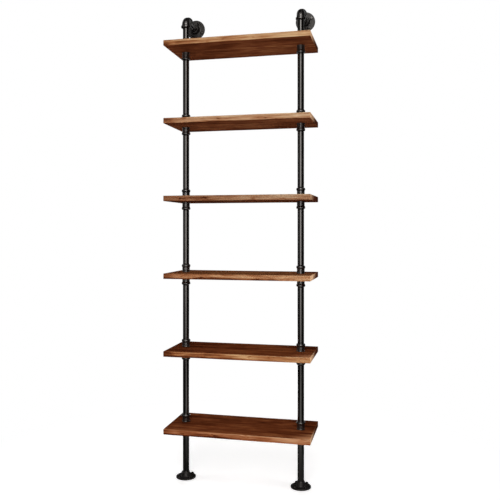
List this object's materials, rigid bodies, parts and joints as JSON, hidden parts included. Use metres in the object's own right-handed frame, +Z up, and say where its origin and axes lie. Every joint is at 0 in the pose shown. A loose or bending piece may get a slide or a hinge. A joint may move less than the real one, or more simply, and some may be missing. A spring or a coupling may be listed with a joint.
{
  "type": "ladder bookcase",
  "caption": "Tall narrow wall bookcase: wooden boards held between couplings on two iron-pipe uprights, which stand on floor flanges and turn back through elbows to wall flanges.",
  "frame": {"origin": "on the floor, under the middle of the whole outline", "axes": "+Z up, -Y the open front, +Y the wall side, +X to the right as seen from the front"},
  "size_m": [0.6, 0.263, 1.9715],
  "materials": {
    "board_wood": "warm brown stained and waxed pine, satin",
    "pipe_steel": "black lacquered steel pipe, satin",
    "fitting_iron": "black malleable iron, slightly rough",
    "screw_steel": "blackened steel"
  },
  "bodies": {
    "root": {"board_1": "board_wood", "board_2": "board_wood", "board_3": "board_wood", "board_4": "board_wood", "board_5": "board_wood", "board_6": "board_wood", "left_floor_flange": "fitting_iron", "left_floor_screw_1": "screw_steel", "left_floor_screw_2": "screw_steel", "left_floor_screw_3": "screw_steel", "left_floor_screw_4": "screw_steel", "left_foot_pipe": "pipe_steel", "left_lower_coupling_1": "fitting_iron", "left_upper_coupling_1": "fitting_iron", "left_lower_coupling_2": "fitting_iron", "left_upper_coupling_2": "fitting_iron", "left_lower_coupling_3": "fitting_iron", "left_upper_coupling_3": "fitting_iron", "left_lower_coupling_4": "fitting_iron", "left_upper_coupling_4": "fitting_iron", "left_lower_coupling_5": "fitting_iron", "left_upper_coupling_5": "fitting_iron", "left_lower_coupling_6": "fitting_iron", "left_upper_coupling_6": "fitting_iron", "left_pipe_1": "pipe_steel", "left_pipe_2": "pipe_steel", "left_pipe_3": "pipe_steel", "left_pipe_4": "pipe_steel", "left_pipe_5": "pipe_steel", "left_riser_pipe": "pipe_steel", "left_elbow": "fitting_iron", "left_wall_pipe": "pipe_steel", "left_wall_flange": "fitting_iron", "right_floor_flange": "fitting_iron", "right_floor_screw_1": "screw_steel", "right_floor_screw_2": "screw_steel", "right_floor_screw_3": "screw_steel", "right_floor_screw_4": "screw_steel", "right_foot_pipe": "pipe_steel", "right_lower_coupling_1": "fitting_iron", "right_upper_coupling_1": "fitting_iron", "right_lower_coupling_2": "fitting_iron", "right_upper_coupling_2": "fitting_iron", "right_lower_coupling_3": "fitting_iron", "right_upper_coupling_3": "fitting_iron", "right_lower_coupling_4": "fitting_iron", "right_upper_coupling_4": "fitting_iron", "right_lower_coupling_5": "fitting_iron", "right_upper_coupling_5": "fitting_iron", "right_lower_coupling_6": "fitting_iron", "right_upper_coupling_6": "fitting_iron", "right_pipe_1": "pipe_steel", "right_pipe_2": "pipe_steel", "right_pipe_3": "pipe_steel", "right_pipe_4": "pipe_steel", "right_pipe_5": "pipe_steel", "right_riser_pipe": "pipe_steel", "right_elbow": "fitting_iron", "right_wall_pipe": "pipe_steel", "right_wall_flange": "fitting_iron"}
  },
  "joints": []
}
